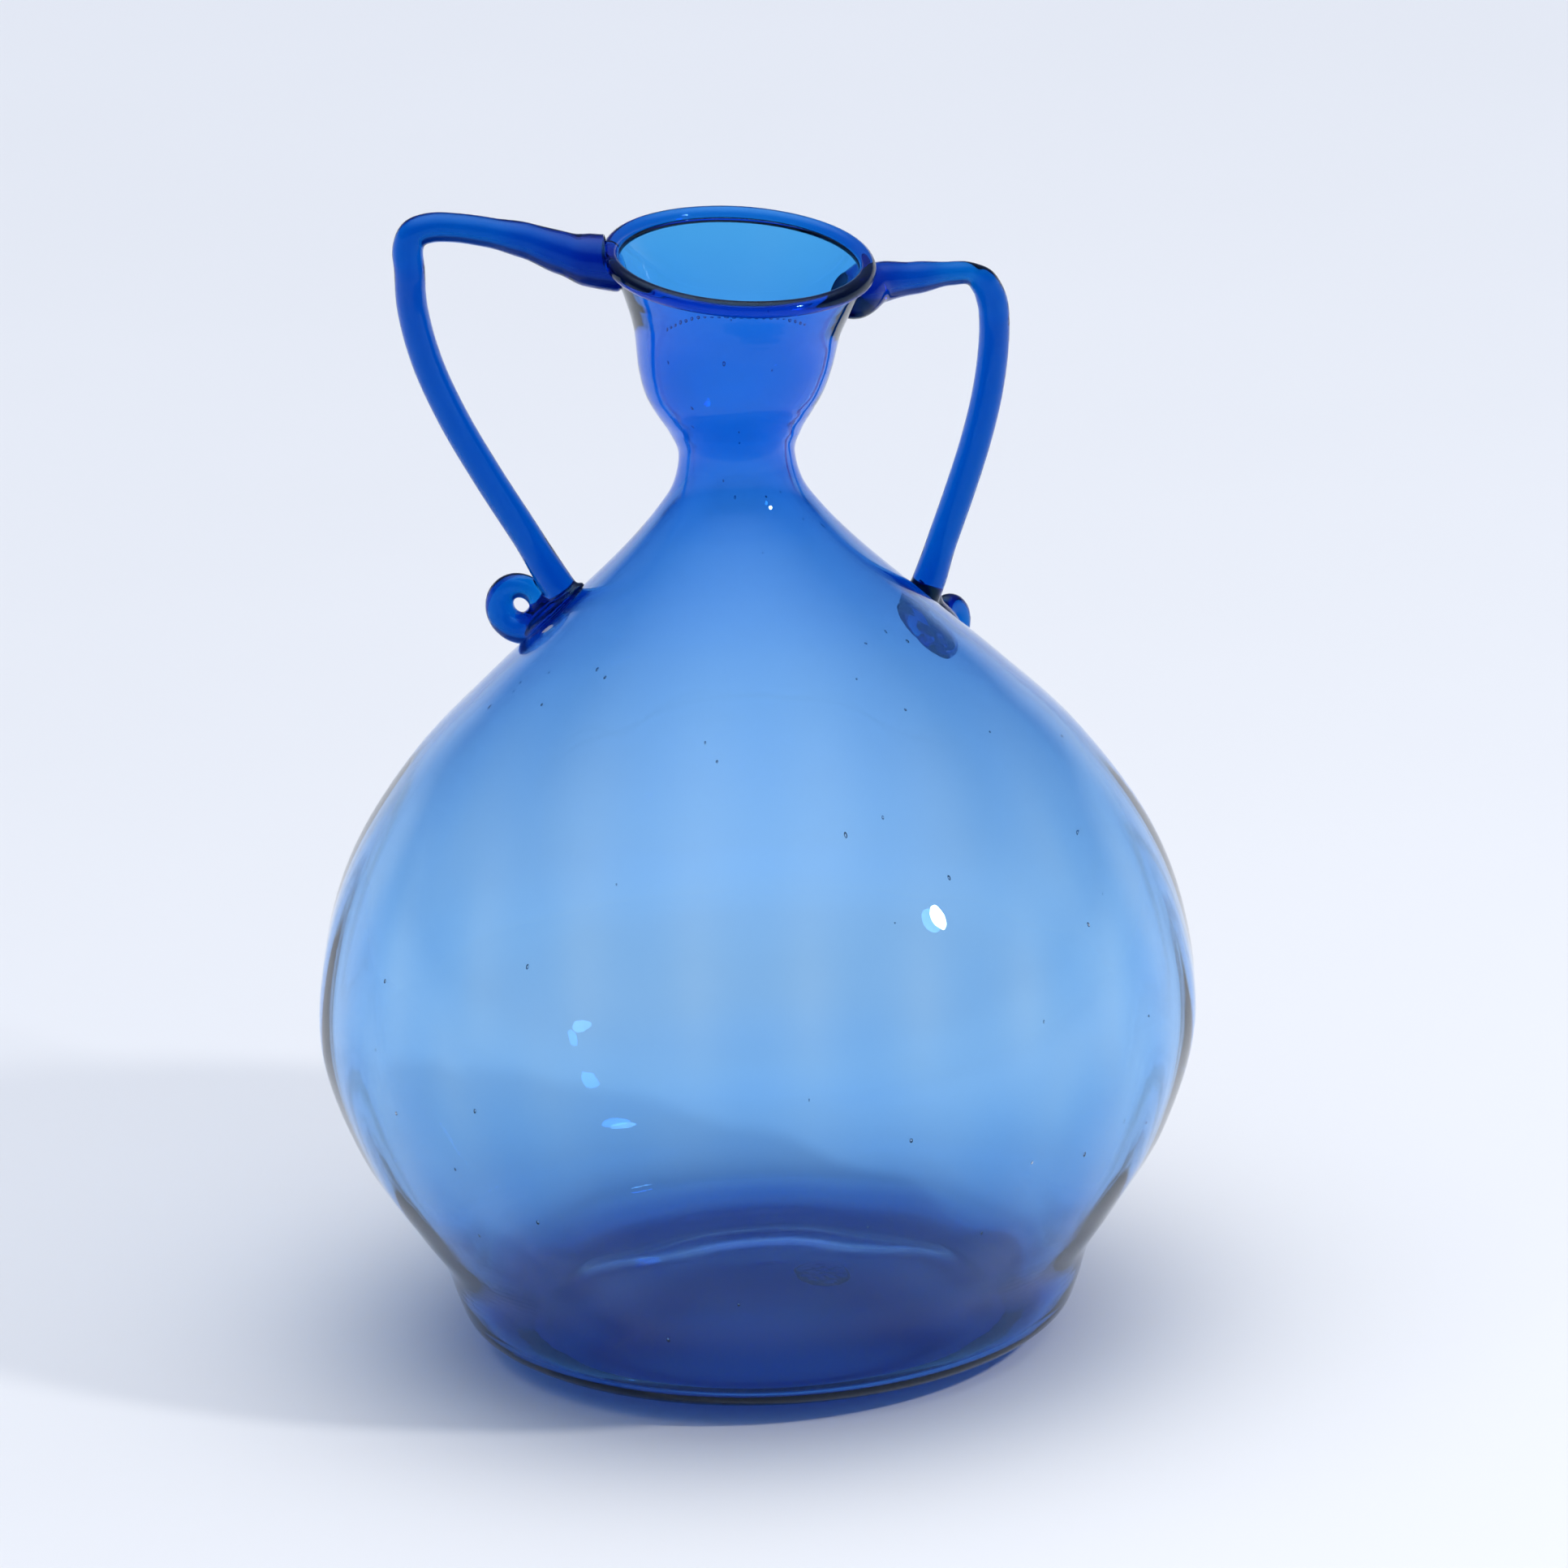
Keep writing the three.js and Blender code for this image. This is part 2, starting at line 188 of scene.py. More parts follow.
def turned(mesh, profile, outer_rows):
    """Turns a closed profile whose two ends lie on the axis."""
    rings = []
    for row, (radius, height) in enumerate(profile):
        if radius < 1e-6:
            rings.append([mesh.verts.new(leaned(Vector((0, 0, height))) * MM)])
            continue
        ring = []
        for step in range(TURN_STEPS):
            angle = 2 * math.pi * step / TURN_STEPS
            reach = radius - taken_off(angle, height, row < outer_rows)
            point = Vector((reach * math.cos(angle), reach * math.sin(angle), height))
            ring.append(mesh.verts.new(leaned(point) * MM))
        rings.append(ring)
    for lower, upper in zip(rings, rings[1:]):
        for step in range(TURN_STEPS):
            after = (step + 1) % TURN_STEPS
            corners = [lower[step % len(lower)], lower[after % len(lower)],
                       upper[after % len(upper)], upper[step % len(upper)]]
            unique = list(dict.fromkeys(corners))
            mesh.faces.new(unique)


def radius_at(height):
    return float(np.interp(height, outside[:, 1], outside[:, 0]))


def bubble(mesh, height, degrees, sizes, depth=0.5):
    """An air bubble in the wall: sizes are its half length, half width and half depth."""
    slope = (radius_at(height - 1) - radius_at(height + 1)) / 2
    angle = math.radians(degrees)
    away = Vector((math.cos(angle), math.sin(angle), slope)).normalized()
    around = Vector((-math.sin(angle), math.cos(angle), 0))
    middle = Vector((radius_at(height) * math.cos(angle), radius_at(height) * math.sin(angle), height))
    middle -= away * (wall_at(height) * depth + 0.15)
    place = Matrix((around, away.cross(around), away)).transposed().to_4x4()
    place.translation = leaned(middle) * MM
    ball = bmesh.ops.create_icosphere(mesh, subdivisions=2, radius=MM)
    stretch = Matrix.Diagonal((sizes[1], sizes[0], sizes[2], 1))
    bmesh.ops.transform(mesh, matrix=place @ stretch, verts=ball["verts"])
    faces = list({face for vert in ball["verts"] for face in vert.link_faces})
    bmesh.ops.reverse_faces(mesh, faces=faces)


def finished(mesh, name):
    """Stores a mesh in metres as a smooth-shaded object of the scene."""
    data = bpy.data.meshes.new(name)
    mesh.to_mesh(data)
    mesh.free()
    data.polygons.foreach_set("use_smooth", [True] * len(data.polygons))
    piece = bpy.data.objects.new(name, data)
    bpy.context.collection.objects.link(piece)
    return piece


body_mesh = bmesh.new()
body_profile = np.concatenate([underside[:-1], outside, lip_cap, inside[::-1],
                               floor_inside[::-1]])
body_profile[0, 0] = body_profile[-1, 0] = 0.0
turned(body_mesh, body_profile, len(underside) - 1 + len(outside))
bmesh.ops.recalc_face_normals(body_mesh, faces=body_mesh.faces)
ROW_BUBBLES, ROW_HEIGHT, ROW_FROM, ROW_STEP = 23, 283.5, 36.0, 5.0
SEEDS, SEEDS_FROM, SEEDS_TO = 70, 24, 285
draw = random.Random(11)
for place in range(ROW_BUBBLES):
    size = draw.uniform(0.44, 0.62)
    bubble(body_mesh, ROW_HEIGHT + draw.uniform(-0.15, 0.15), ROW_FROM + place * ROW_STEP,
           (size, size * draw.uniform(1.0, 1.3), size))
for seed in range(SEEDS):
    height = draw.uniform(SEEDS_FROM, SEEDS_TO)
    size = draw.uniform(0.22, 0.5)
    bubble(body_mesh, height, draw.uniform(0, 360),
           (size * draw.uniform(1.0, 2.2), size, min(size, 0.5)), draw.uniform(0.4, 0.6))
vessel_body = finished(body_mesh, "blown_body")


class Wire:
    """One output of a material's nodes; sums and products of it add Math nodes."""

    def __init__(self, socket):
        self.socket = socket

    def math(self, operation, first, second):
        return Finish.node(self.socket.id_data, "Math", {"operation": operation},
                           {0: first, 1: second})

    def __add__(self, other):
        return self.math("ADD", self, other)

    def __mul__(self, other):
        return self.math("MULTIPLY", self, other)

    __radd__, __rmul__ = __add__, __mul__


class Finish:
    """A material and the one way its nodes are made."""

    def __init__(self, name):
        self.material = bpy.data.materials.new(name)
        self.material.use_nodes = True
        self.tree = self.material.node_tree
        self.tree.nodes.clear()

    @staticmethod
    def node(tree, kind, settings=None, sockets=None, out=0):
        made = tree.nodes.new("ShaderNode" + kind)
        for key, value in (settings or {}).items():
            if key == "stops":
                ramp = made.color_ramp
                while len(ramp.elements) < len(value):
                    ramp.elements.new(1.0)
                for element, (place, colour) in zip(ramp.elements, value):
                    element.position, element.color = place, (*colour, 1.0)
            else:
                setattr(made, key, value)
        for key, value in (sockets or {}).items():
            if isinstance(value, Wire):
                tree.links.new(value.socket, made.inputs[key])
            else:
                made.inputs[key].default_value = value
        return Wire(made.outputs[out]) if made.outputs else made

    def add(self, kind, settings=None, sockets=None, out=0):
        return self.node(self.tree, kind, settings, sockets, out)

    def blend(self, share, first, second):
        return self.add("Mix", {"data_type": "RGBA"},
                        {0: share, 6: first, 7: second}, out=2)


def glass(name, tint, absorbed, density, sheen, waves=0.05, haze_reach=0.012):
    """Hot-worked glass: tint(finish) gives the surface colour, absorbed the colour of
    the light that is let through by depth, sheen the colour of its reflections, waves the
    height in mm of its faint unevenness, and haze_reach how rough it is at its haziest."""
    finish = Finish(name)
    place = finish.add("TexCoord", out=3)
    swirl = finish.add("TexNoise", {"noise_dimensions": "3D"},
                       {"Vector": place, "Scale": 38.0, "Detail": 3.0, "Roughness": 0.55})
    haze = finish.add("TexNoise", {}, {"Vector": place, "Scale": 11.0, "Detail": 2.0})
    normal = finish.add("Bump", {}, {"Strength": 0.35, "Distance": waves * MM, "Height": swirl})
    shader = finish.add("BsdfPrincipled", {}, {
        "Base Color": tint(finish, place), "Roughness": haze * haze_reach + 0.002, "IOR": 1.5,
        "Specular Tint": (*sheen, 1.0), "Transmission Weight": 1.0, "Normal": normal})
    volume = finish.add("VolumeAbsorption", {}, {"Color": (*absorbed, 1.0), "Density": density})
    finish.add("OutputMaterial", {}, {"Surface": shader, "Volume": volume})
    return finish.material


def body_tint(finish, place):
    """The neck and cup are thick and read deeper. The base and the foot of the bulb are
    painted deeper still, partly for the glass pooled there and partly as painted shade of
    the floor under the base; faint streaks run through the bulb."""
    height = finish.add("SeparateXYZ", {}, {"Vector": place}, out=2)
    # The lowest stops darken the foot of the bulb: partly thicker glass, partly painted shade from the
    # floor under the base.
    rise = finish.add("ValToRGB", {"stops": [
        (0.00, (0.56, 0.66, 0.88)), (0.05, (0.80, 0.86, 0.95)), (0.12, (0.95, 0.96, 0.98)),
        (0.30, (1.0, 0.99, 1.0)), (0.48, (0.96, 0.96, 0.97)), (0.60, (0.86, 0.87, 0.93)),
        (0.70, (0.62, 0.76, 0.90)), (0.78, (0.36, 0.66, 0.90)), (0.86, (0.16, 0.62, 0.92)),
        (1.00, (0.12, 0.61, 0.94))]}, {0: height * (1 / (LIP_HEIGHT * MM))})
    streak = finish.add("TexNoise", {}, {"Vector": place, "Scale": 16.0, "Detail": 4.0})
    flat = finish.add("VectorMath", {"operation": "MULTIPLY"}, {0: place, 1: (1.0, 1.0, 0.0)})
    reach = finish.add("VectorMath", {"operation": "LENGTH"}, {0: flat}, out=1)
    # Painted shade: the base is coloured dark indigo, partly for its thick glass and partly for the
    # shade of the floor under it.
    pooled_glass_and_shade = finish.add("MapRange", {}, {0: reach, 1: 0.066, 2: 0.084, 3: 1.0, 4: 0.0})
    pooled_glass_and_shade = pooled_glass_and_shade * finish.add("MapRange", {}, {0: height, 1: 0.017, 2: 0.026, 3: 1.0, 4: 0.0})
    walls = finish.blend(streak * 0.25, rise, (0.86, 0.93, 1.0, 1.0))
    return finish.blend(pooled_glass_and_shade, walls, (0.22, 0.33, 0.68, 1.0))


PALE_BLUE_THROUGH = (0.12, 0.62, 0.945)
PALE_BLUE_DEPTH = 440.0
vessel_body.data.materials.append(glass(
    "pale_blue_glass", body_tint, PALE_BLUE_THROUGH, PALE_BLUE_DEPTH, (0.42, 0.66, 0.94)))
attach(vessel_body, "root")
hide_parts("vessel_body")

# ---------------------------------------------------------------- mouth bead
# A thread of the same blue glass wound once round the mouth and melted in, its thickness
# a little uneven all round.
BEAD_SIDES = 28
bead_mesh = bmesh.new()
bead_rings = []
for step in range(TURN_STEPS):
    angle = 2 * math.pi * step / TURN_STEPS
    uneven = noise.noise(Vector((math.cos(angle), math.sin(angle), 4.0)) * 1.8)
    thick = BEAD_RADIUS * (0.955 + 0.045 * uneven)
    ring = []
    for side in range(BEAD_SIDES):
        turn = 2 * math.pi * side / BEAD_SIDES
        reach = MOUTH_RADIUS + thick * math.cos(turn)
        point = Vector((reach * math.cos(angle), reach * math.sin(angle),
                        LIP_HEIGHT + thick * math.sin(turn)))
        ring.append(bead_mesh.verts.new(leaned(point) * MM))
    bead_rings.append(ring)
for step, ring in enumerate(bead_rings):
    following = bead_rings[(step + 1) % TURN_STEPS]
    for side in range(BEAD_SIDES):
        after = (side + 1) % BEAD_SIDES
        bead_mesh.faces.new([ring[side], following[side], following[after], ring[after]])
bmesh.ops.recalc_face_normals(bead_mesh, faces=bead_mesh.faces)
mouth_bead = finished(bead_mesh, "wound_mouth_bead")


def bead_tint(finish, place):
    streak = finish.add("TexNoise", {}, {"Vector": place, "Scale": 60.0, "Detail": 3.0})
    return finish.blend(streak, (0.72, 0.90, 1.0, 1.0), (0.86, 0.96, 1.0, 1.0))


mouth_bead.data.materials.append(
    glass("bead_blue_glass", bead_tint, (0.11, 0.69, 0.925), 1300.0, (0.2, 0.5, 0.95), waves=0.03))
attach(mouth_bead, "root")
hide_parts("mouth_bead")

# ---------------------------------------------------------------- left handle
# A bit of deep blue glass stuck to the outside of the mouth, drawn out level, bent down
# at an elbow and pressed on the shoulder, where its end rolls outwards into a scroll.
ROD_RADIUS = 4.3
ROD_SIDES = 28
MELT_SIZE = 0.42
MELT_PASSES = 14
SEAT_PASSES = 6
ROOT_REACH = 4
BOW_SHARES = (0.14, 0.32, 0.5, 0.68, 0.85)
FOOT_SPREAD, FOOT_SUNK = 1.1, 1.25
SCROLL_FROM, SCROLL_STEP, SCROLL_FULL = -90, 30, 300
SCROLL_CLOSES, SCROLL_THICK, SCROLL_THINS = 0.12, 1.14, 0.42


def around_axis(radius, degrees, height):
    turn = math.radians(degrees)
    return Vector((radius * math.cos(turn), radius * math.sin(turn), height))


def shoulder_frame(degrees, height):
    """The way square out of the shoulder at a place on it, and a function that gives the
    point so far down the slope from that place and so far away from the surface."""
    slope = (radius_at(height - 2) - radius_at(height + 2)) / 4
    down = around_axis(slope, degrees, -1).normalized()
    outwards = around_axis(1, degrees, slope).normalized()
    surface = around_axis(radius_at(height), degrees, height)
    return outwards, lambda along, away: surface + down * along + outwards * away


def drawn_line(rows, spacing=0.8):
    """A centripetal Catmull-Rom line through (point, radius) rows, evenly spaced."""
    points = [Vector(point) for point, radius in rows]
    ends = [points[0] * 2 - points[1]] + points + [points[-1] * 2 - points[-2]]
    line, sizes = [], []
    for index in range(len(points) - 1):
        p0, p1, p2, p3 = ends[index:index + 4]
        t1 = (p1 - p0).length ** 0.5
        t2 = t1 + (p2 - p1).length ** 0.5
        t3 = t2 + (p3 - p2).length ** 0.5
        count = max(int((p2 - p1).length / spacing), 2)
        for step in range(count):
            share = step / count
            t = t1 + (t2 - t1) * share
            a1 = p0 * ((t1 - t) / t1) + p1 * (t / t1)
            a2 = p1 * ((t2 - t) / (t2 - t1)) + p2 * ((t - t1) / (t2 - t1))
            a3 = p2 * ((t3 - t) / (t3 - t2)) + p3 * ((t - t2) / (t3 - t2))
            b1 = a1 * ((t2 - t) / t2) + a2 * (t / t2)
            b2 = a2 * ((t3 - t) / (t3 - t1)) + a3 * ((t - t1) / (t3 - t1))
            line.append(b1 * ((t2 - t) / (t2 - t1)) + b2 * ((t - t1) / (t2 - t1)))
            sizes.append(rows[index][1] + (rows[index + 1][1] - rows[index][1]) * smooth(share, 0, 1))
    line.append(points[-1])
    sizes.append(rows[-1][1])
    return line, sizes


def rod(mesh, rows, blunt=math.inf):
    """A closed rod round the line, with round ends; blunt caps how far the first is rounded."""
    line, sizes = drawn_line(rows)
    run = [0.0]
    for start, end in zip(line, line[1:]):
        run.append(run[-1] + (end - start).length)
    across = None
    rings = []
    for index, (point, size) in enumerate(zip(line, sizes)):
        along = (line[min(index + 1, len(line) - 1)] - line[max(index - 1, 0)]).normalized()
        across = along.orthogonal() if across is None else across - along * across.dot(along)
        across.normalize()
        other = along.cross(across)
        first = run[index] < run[-1] / 2
        from_end = run[index] if first else run[-1] - run[index]
        length = min(size, blunt) if first else size
        cap = math.sqrt(1 - (1 - from_end / length) ** 2) if from_end < length else 1.0
        reach = size * max(cap, 0.08)
        ring = []
        for side in range(ROD_SIDES):
            turn = 2 * math.pi * side / ROD_SIDES
            ring.append(mesh.verts.new(
                (point + across * (reach * math.cos(turn)) + other * (reach * math.sin(turn))) * MM))
        rings.append(ring)
    for ring, following in zip(rings, rings[1:]):
        for side in range(ROD_SIDES):
            after = (side + 1) % ROD_SIDES
            mesh.faces.new([ring[side], ring[after], following[after], following[side]])
    mesh.faces.new(rings[0][::-1])
    mesh.faces.new(rings[-1])


clear_square = square_to(outside)
BEAD_SHELF = MOUTH_RADIUS + BEAD_RADIUS * 0.62


def upright(points):
    """Points taken back from the leaning cup, and what was taken off them."""
    start, reach = LIP_HEIGHT * LEAN_FROM, LIP_HEIGHT * (1 - LEAN_FROM)
    level = np.clip((points[:, 2] - start) / reach, 0, 1)
    for attempt in range(5):
        share = level * level * (3 - 2 * level)
        lift = share * (MOUTH_TILT_X * (points[:, 0] - CUP_LEAN * share)
                        + MOUTH_TILT_Y * points[:, 1])
        level = np.clip((points[:, 2] - lift - start) / reach, 0, 1)
    off = np.stack([CUP_LEAN * share, np.zeros(len(points)), lift], 1)
    return points - off, off


def seated(points, lost):
    """Moves points that are deep in the wall or the bead out to where glass meets glass."""
    straight, off = upright(points)
    radius = np.hypot(straight[:, 0], straight[:, 1])
    flat = np.stack([radius, straight[:, 2]], 1)
    low = flat[:, 1] < WALL_TOP + 1.0
    near = np.argmin(((flat[low][:, None] - outside[None]) ** 2).sum(2), axis=1)
    square = clear_square[near]
    reach = ((flat[low] - outside[near]) * square).sum(1)
    flat[low] += square * np.maximum(-FUSED - lost[low] - reach, 0)[:, None]
    from_bead = flat - [MOUTH_RADIUS, LIP_HEIGHT]
    distance = np.maximum(np.hypot(*from_bead.T), 1e-6)
    short = distance < BEAD_RADIUS - FUSED
    flat[short] = [MOUTH_RADIUS, LIP_HEIGHT] + (
        from_bead[short] / distance[short][:, None] * (BEAD_RADIUS - FUSED))
    above = (flat[:, 1] > LIP_HEIGHT) & (flat[:, 0] < BEAD_SHELF)
    flat[above, 0] = BEAD_SHELF
    straight[:, :2] *= (flat[:, 0] / np.maximum(radius, 1e-6))[:, None]
    straight[:, 2] = flat[:, 1]
    return straight + off


def melted(mesh, name):
    """Runs the parts of a handle together as hot glass does, then seats them on the body."""
    rough = finished(mesh, name)
    soften = rough.modifiers.new("melt", "REMESH")
    soften.mode, soften.voxel_size = "VOXEL", MELT_SIZE * MM
    relax = rough.modifiers.new("relax", "SMOOTH")
    relax.factor, relax.iterations = 0.5, MELT_PASSES
    evaluated = rough.evaluated_get(bpy.context.evaluated_depsgraph_get())
    data = bpy.data.meshes.new_from_object(evaluated)
    old = rough.data
    rough.modifiers.clear()
    rough.data = data
    data.name = name
    bpy.data.meshes.remove(old)
    places = np.empty(len(data.vertices) * 3)
    data.vertices.foreach_get("co", places)
    edges = np.empty(len(data.edges) * 2, dtype=np.int64)
    data.edges.foreach_get("vertices", edges)
    ends = np.concatenate([edges.reshape(-1, 2), edges.reshape(-1, 2)[:, ::-1]])
    count = np.bincount(ends[:, 0], minlength=len(data.vertices))[:, None]
    free = places.reshape(-1, 3) / MM
    lost = np.array([taken_off(math.atan2(y, x), min(z, LIP_HEIGHT)) for x, y, z in free])
    places = seated(free, lost)
    moved = np.abs(places - free).max(1) > 0.02
    for attempt in range(3):
        nearby = np.zeros(len(places), dtype=bool)
        nearby[ends[moved[ends[:, 0]], 1]] = True
        moved |= nearby
    for attempt in range(SEAT_PASSES):
        total = np.zeros_like(places)
        np.add.at(total, ends[:, 0], places[ends[:, 1]])
        places[moved] += 0.5 * (total / count - places)[moved]
        places = seated(places, lost)
    data.vertices.foreach_set("co", (places * MM).ravel())
    data.polygons.foreach_set("use_smooth", [True] * len(data.polygons))
    data.update()
    return rough


def handle(name, lip_degrees, root_turn, arm, bow, foot_degrees, foot_share,
           scroll_degrees, scroll_share, scroll_radius, scroll_away, scroll_end, scroll_rod,
           pad_length, pad_width, pad_height):
    """One handle: an arm of (reach, rise, radius) rows from the mouth to the elbow, a rod
    bowed out down to its foot on the shoulder, a scroll rolled up from there, and a pad
    pressed on under both. Shares are of the lip height, and root_turn swings the arm's root."""
    lip_level = leaned(around_axis(MOUTH_RADIUS, lip_degrees, LIP_HEIGHT)).z
    rows = [(around_axis(MOUTH_RADIUS + reach, lip_degrees + root_turn * (reach < ROOT_REACH),
                         lip_level + rise), radius) for reach, rise, radius in arm]
    elbow = rows[-1][0]
    foot = shoulder_frame(foot_degrees, LIP_HEIGHT * foot_share)[1]
    landing = foot(0, ROD_RADIUS)
    for share in BOW_SHARES:
        bulge = 4 * share * (1 - share) * (1 - 0.7 * share ** 2) * bow
        rows.append((elbow.lerp(landing, share) + around_axis(bulge, foot_degrees, bulge * 0.3),
                     ROD_RADIUS))
    rows += [(landing, ROD_RADIUS * FOOT_SPREAD), (foot(1, -ROD_RADIUS), ROD_RADIUS * FOOT_SUNK)]

    scroll = shoulder_frame(scroll_degrees, LIP_HEIGHT * scroll_share)[1]
    start = foot(1, ROD_RADIUS * 0.5)
    touch = scroll(0, scroll_away - scroll_radius)
    curl = [(start.lerp(touch, share), scroll_rod * FOOT_SPREAD) for share in (0, 0.35, 0.7)]
    for degrees in range(SCROLL_FROM, scroll_end, SCROLL_STEP):
        turn, wound = math.radians(degrees), (degrees - SCROLL_FROM) / SCROLL_FULL
        closing = scroll_radius * (1 - SCROLL_CLOSES * wound)
        curl.append((scroll(closing * math.cos(turn), scroll_away + closing * math.sin(turn)),
                     scroll_rod * (SCROLL_THICK - SCROLL_THINS * wound)))

    mesh = bmesh.new()
    rod(mesh, rows, blunt=2.5)
    rod(mesh, curl)
    along = (touch - start).normalized()
    reach = pad_length / (touch - start).length / 2
    pad = bmesh.ops.create_icosphere(mesh, subdivisions=4, radius=1.0)
    for vert in pad["verts"]:
        share = 0.5 + vert.co.x * reach
        pad_out, spot = shoulder_frame(
            foot_degrees + (scroll_degrees - foot_degrees) * share,
            LIP_HEIGHT * (foot_share + (scroll_share - foot_share) * share))
        vert.co = (spot(0, vert.co.z * pad_height) + pad_out.cross(along).normalized()
                   * (vert.co.y * pad_width / 2)) * MM
    bmesh.ops.recalc_face_normals(mesh, faces=mesh.faces)
    return melted(mesh, name)


left_handle = handle(
    "drawn_left_handle", lip_degrees=180, root_turn=0,
    arm=[(-8, -3.2, 7.8), (-1.4, -1.9, 7.7), (3, -1.1, 7.4), (9.8, 1, 6), (20, 5.1, 5),
         (30, 7.8, 4.2), (39, 9.5, 4.1), (46, 9.8, 4.2), (50.6, 8.2, 4.3), (52.4, 4, 4.3),
         (52.2, -1.6, 4.3)],
    bow=11, foot_degrees=161, foot_share=0.676, scroll_degrees=161, scroll_share=0.648,
    scroll_radius=6.6, scroll_away=7.4, scroll_end=241, scroll_rod=4.2, pad_length=23, pad_width=15,
    pad_height=3.0)


def handle_tint(finish, place):
    streak = finish.add("TexNoise", {}, {"Vector": place, "Scale": 45.0, "Detail": 4.0})
    return finish.blend(streak, (0.62, 0.84, 1.0, 1.0), (0.92, 0.97, 1.0, 1.0))


deep_blue = glass("deep_blue_glass", handle_tint, (0.05, 0.745, 0.925), 1150.0,
                  (0.12, 0.45, 0.95), waves=0.04, haze_reach=0.004)
left_handle.data.materials.append(deep_blue)
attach(left_handle, "root")
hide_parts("left_handle")

# ---------------------------------------------------------------- right handle
# The second bit, set a little behind the first one's opposite side and lower on the cup.
# It thins more before its elbow, and its scroll is rolled smaller.
right_handle = handle(
    "drawn_right_handle", lip_degrees=26, root_turn=-7,
    arm=[(-5, -14.2, 5.0), (1, -13.2, 6.4), (10, -12.1, 5.8), (21, -12.6, 4.6), (32, -13.2, 3.4),
         (38.5, -14.3, 3.2), (42.6, -17.6, 4), (45, -23.5, 4.3), (45.4, -28.5, 4.3)],
    bow=6.4, foot_degrees=38, foot_share=0.64, scroll_degrees=49, scroll_share=0.575,
    scroll_radius=5.2, scroll_away=5.4, scroll_end=186, scroll_rod=3.8, pad_length=33, pad_width=18,
    pad_height=4.6)
right_handle.data.materials.append(deep_blue)
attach(right_handle, "root")
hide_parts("right_handle")

# ---------------------------------------------------------------- punty scar
# The stub of glass left under the base where the punty rod was snapped off: a thin
# button with a chipped edge and a rough broken face.
SCAR_RADIUS = 10.0
SCAR_DEPTH = 1.3
SCAR_PLACE = Vector((15, -7, 0))
SCAR_TURN, SCAR_RINGS = 64, 12


def under_height(radius):
    return float(np.interp(radius, underside[:, 0], underside[:, 1]))


scar_mesh = bmesh.new()
faces_of_scar = []
for lower in (False, True):
    rings = [[scar_mesh.verts.new(Vector((SCAR_PLACE.x, SCAR_PLACE.y, under_height(
        SCAR_PLACE.length) - FUSED - (SCAR_DEPTH * 0.8 if lower else 0))) * MM)]]
    for ring in range(1, SCAR_RINGS + 1):
        row = []
        for step in range(SCAR_TURN):
            angle = 2 * math.pi * step / SCAR_TURN
            edge = SCAR_RADIUS * (0.93 + 0.07 * noise.noise(Vector(
                (math.cos(angle) * 2.5, math.sin(angle) * 2.5, 1.0))))
            spot = SCAR_PLACE + Vector((math.cos(angle), math.sin(angle), 0)) * (
                edge * ring / SCAR_RINGS)
            depth = SCAR_DEPTH * (0.72 + 0.28 * noise.noise(spot * 0.45)) * (
                1 - (ring / SCAR_RINGS) ** 6 * 0.9)
            spot.z = under_height(math.hypot(spot.x, spot.y)) - FUSED - (depth if lower else 0)
            row.append(scar_mesh.verts.new(spot * MM))
        rings.append(row)
    for inner, outer in zip(rings, rings[1:]):
        for step in range(SCAR_TURN):
            after = (step + 1) % SCAR_TURN
            scar_mesh.faces.new(list(dict.fromkeys(
                [inner[step % len(inner)], outer[step], outer[after], inner[after % len(inner)]])))
    faces_of_scar.append(rings[-1])
for step in range(SCAR_TURN):
    after = (step + 1) % SCAR_TURN
    scar_mesh.faces.new([faces_of_scar[0][step], faces_of_scar[0][after],
                         faces_of_scar[1][after], faces_of_scar[1][step]])
bmesh.ops.recalc_face_normals(scar_mesh, faces=scar_mesh.faces)
punty_scar = finished(scar_mesh, "snapped_punty_scar")

scar_finish = Finish("broken_blue_glass")
scar_place = scar_finish.add("TexCoord", out=3)
scar_grain = scar_finish.add("TexNoise", {}, {"Vector": scar_place, "Scale": 520.0, "Detail": 5.0})
scar_normal = scar_finish.add("Bump", {}, {"Strength": 0.7, "Distance": 0.3 * MM,
                                           "Height": scar_grain})
scar_shader = scar_finish.add("BsdfPrincipled", {}, {
    "Base Color": scar_finish.blend(scar_grain, (0.72, 0.86, 1.0, 1.0), (0.96, 0.98, 1.0, 1.0)),
    "Roughness": scar_grain * 0.3 + 0.05, "IOR": 1.5, "Transmission Weight": 1.0,
    "Normal": scar_normal})
scar_volume = scar_finish.add("VolumeAbsorption", {}, {
    "Color": (*PALE_BLUE_THROUGH, 1.0), "Density": PALE_BLUE_DEPTH})
scar_finish.add("OutputMaterial", {}, {"Surface": scar_shader, "Volume": scar_volume})
punty_scar.data.materials.append(scar_finish.material)
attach(punty_scar, "root")
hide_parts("punty_scar")

# ---------------------------------------------------------------- stage
# A wide pale floor under a soft dome of light, brightest straight overhead, and one
# small round key light from the right and front for the glints in the glass.
FLOOR_REACH = 9.0
FLOOR_DROP = 0.0004
floor_data = bpy.data.meshes.new("floor")
floor_data.from_pydata([(-FLOOR_REACH, -FLOOR_REACH, 0), (FLOOR_REACH, -FLOOR_REACH, 0),
                        (FLOOR_REACH, FLOOR_REACH, 0), (-FLOOR_REACH, FLOOR_REACH, 0)],
                       [], [(0, 1, 2, 3)])
floor = bpy.data.objects.new("floor", floor_data)
floor.location.z = -FLOOR_DROP
bpy.context.collection.objects.link(floor)
floor_finish = Finish("pale_floor")
floor_place = floor_finish.add("TexCoord", out=3)
floor_mottle = floor_finish.add("TexNoise", {}, {"Vector": floor_place, "Scale": 3.0, "Detail": 4.0})
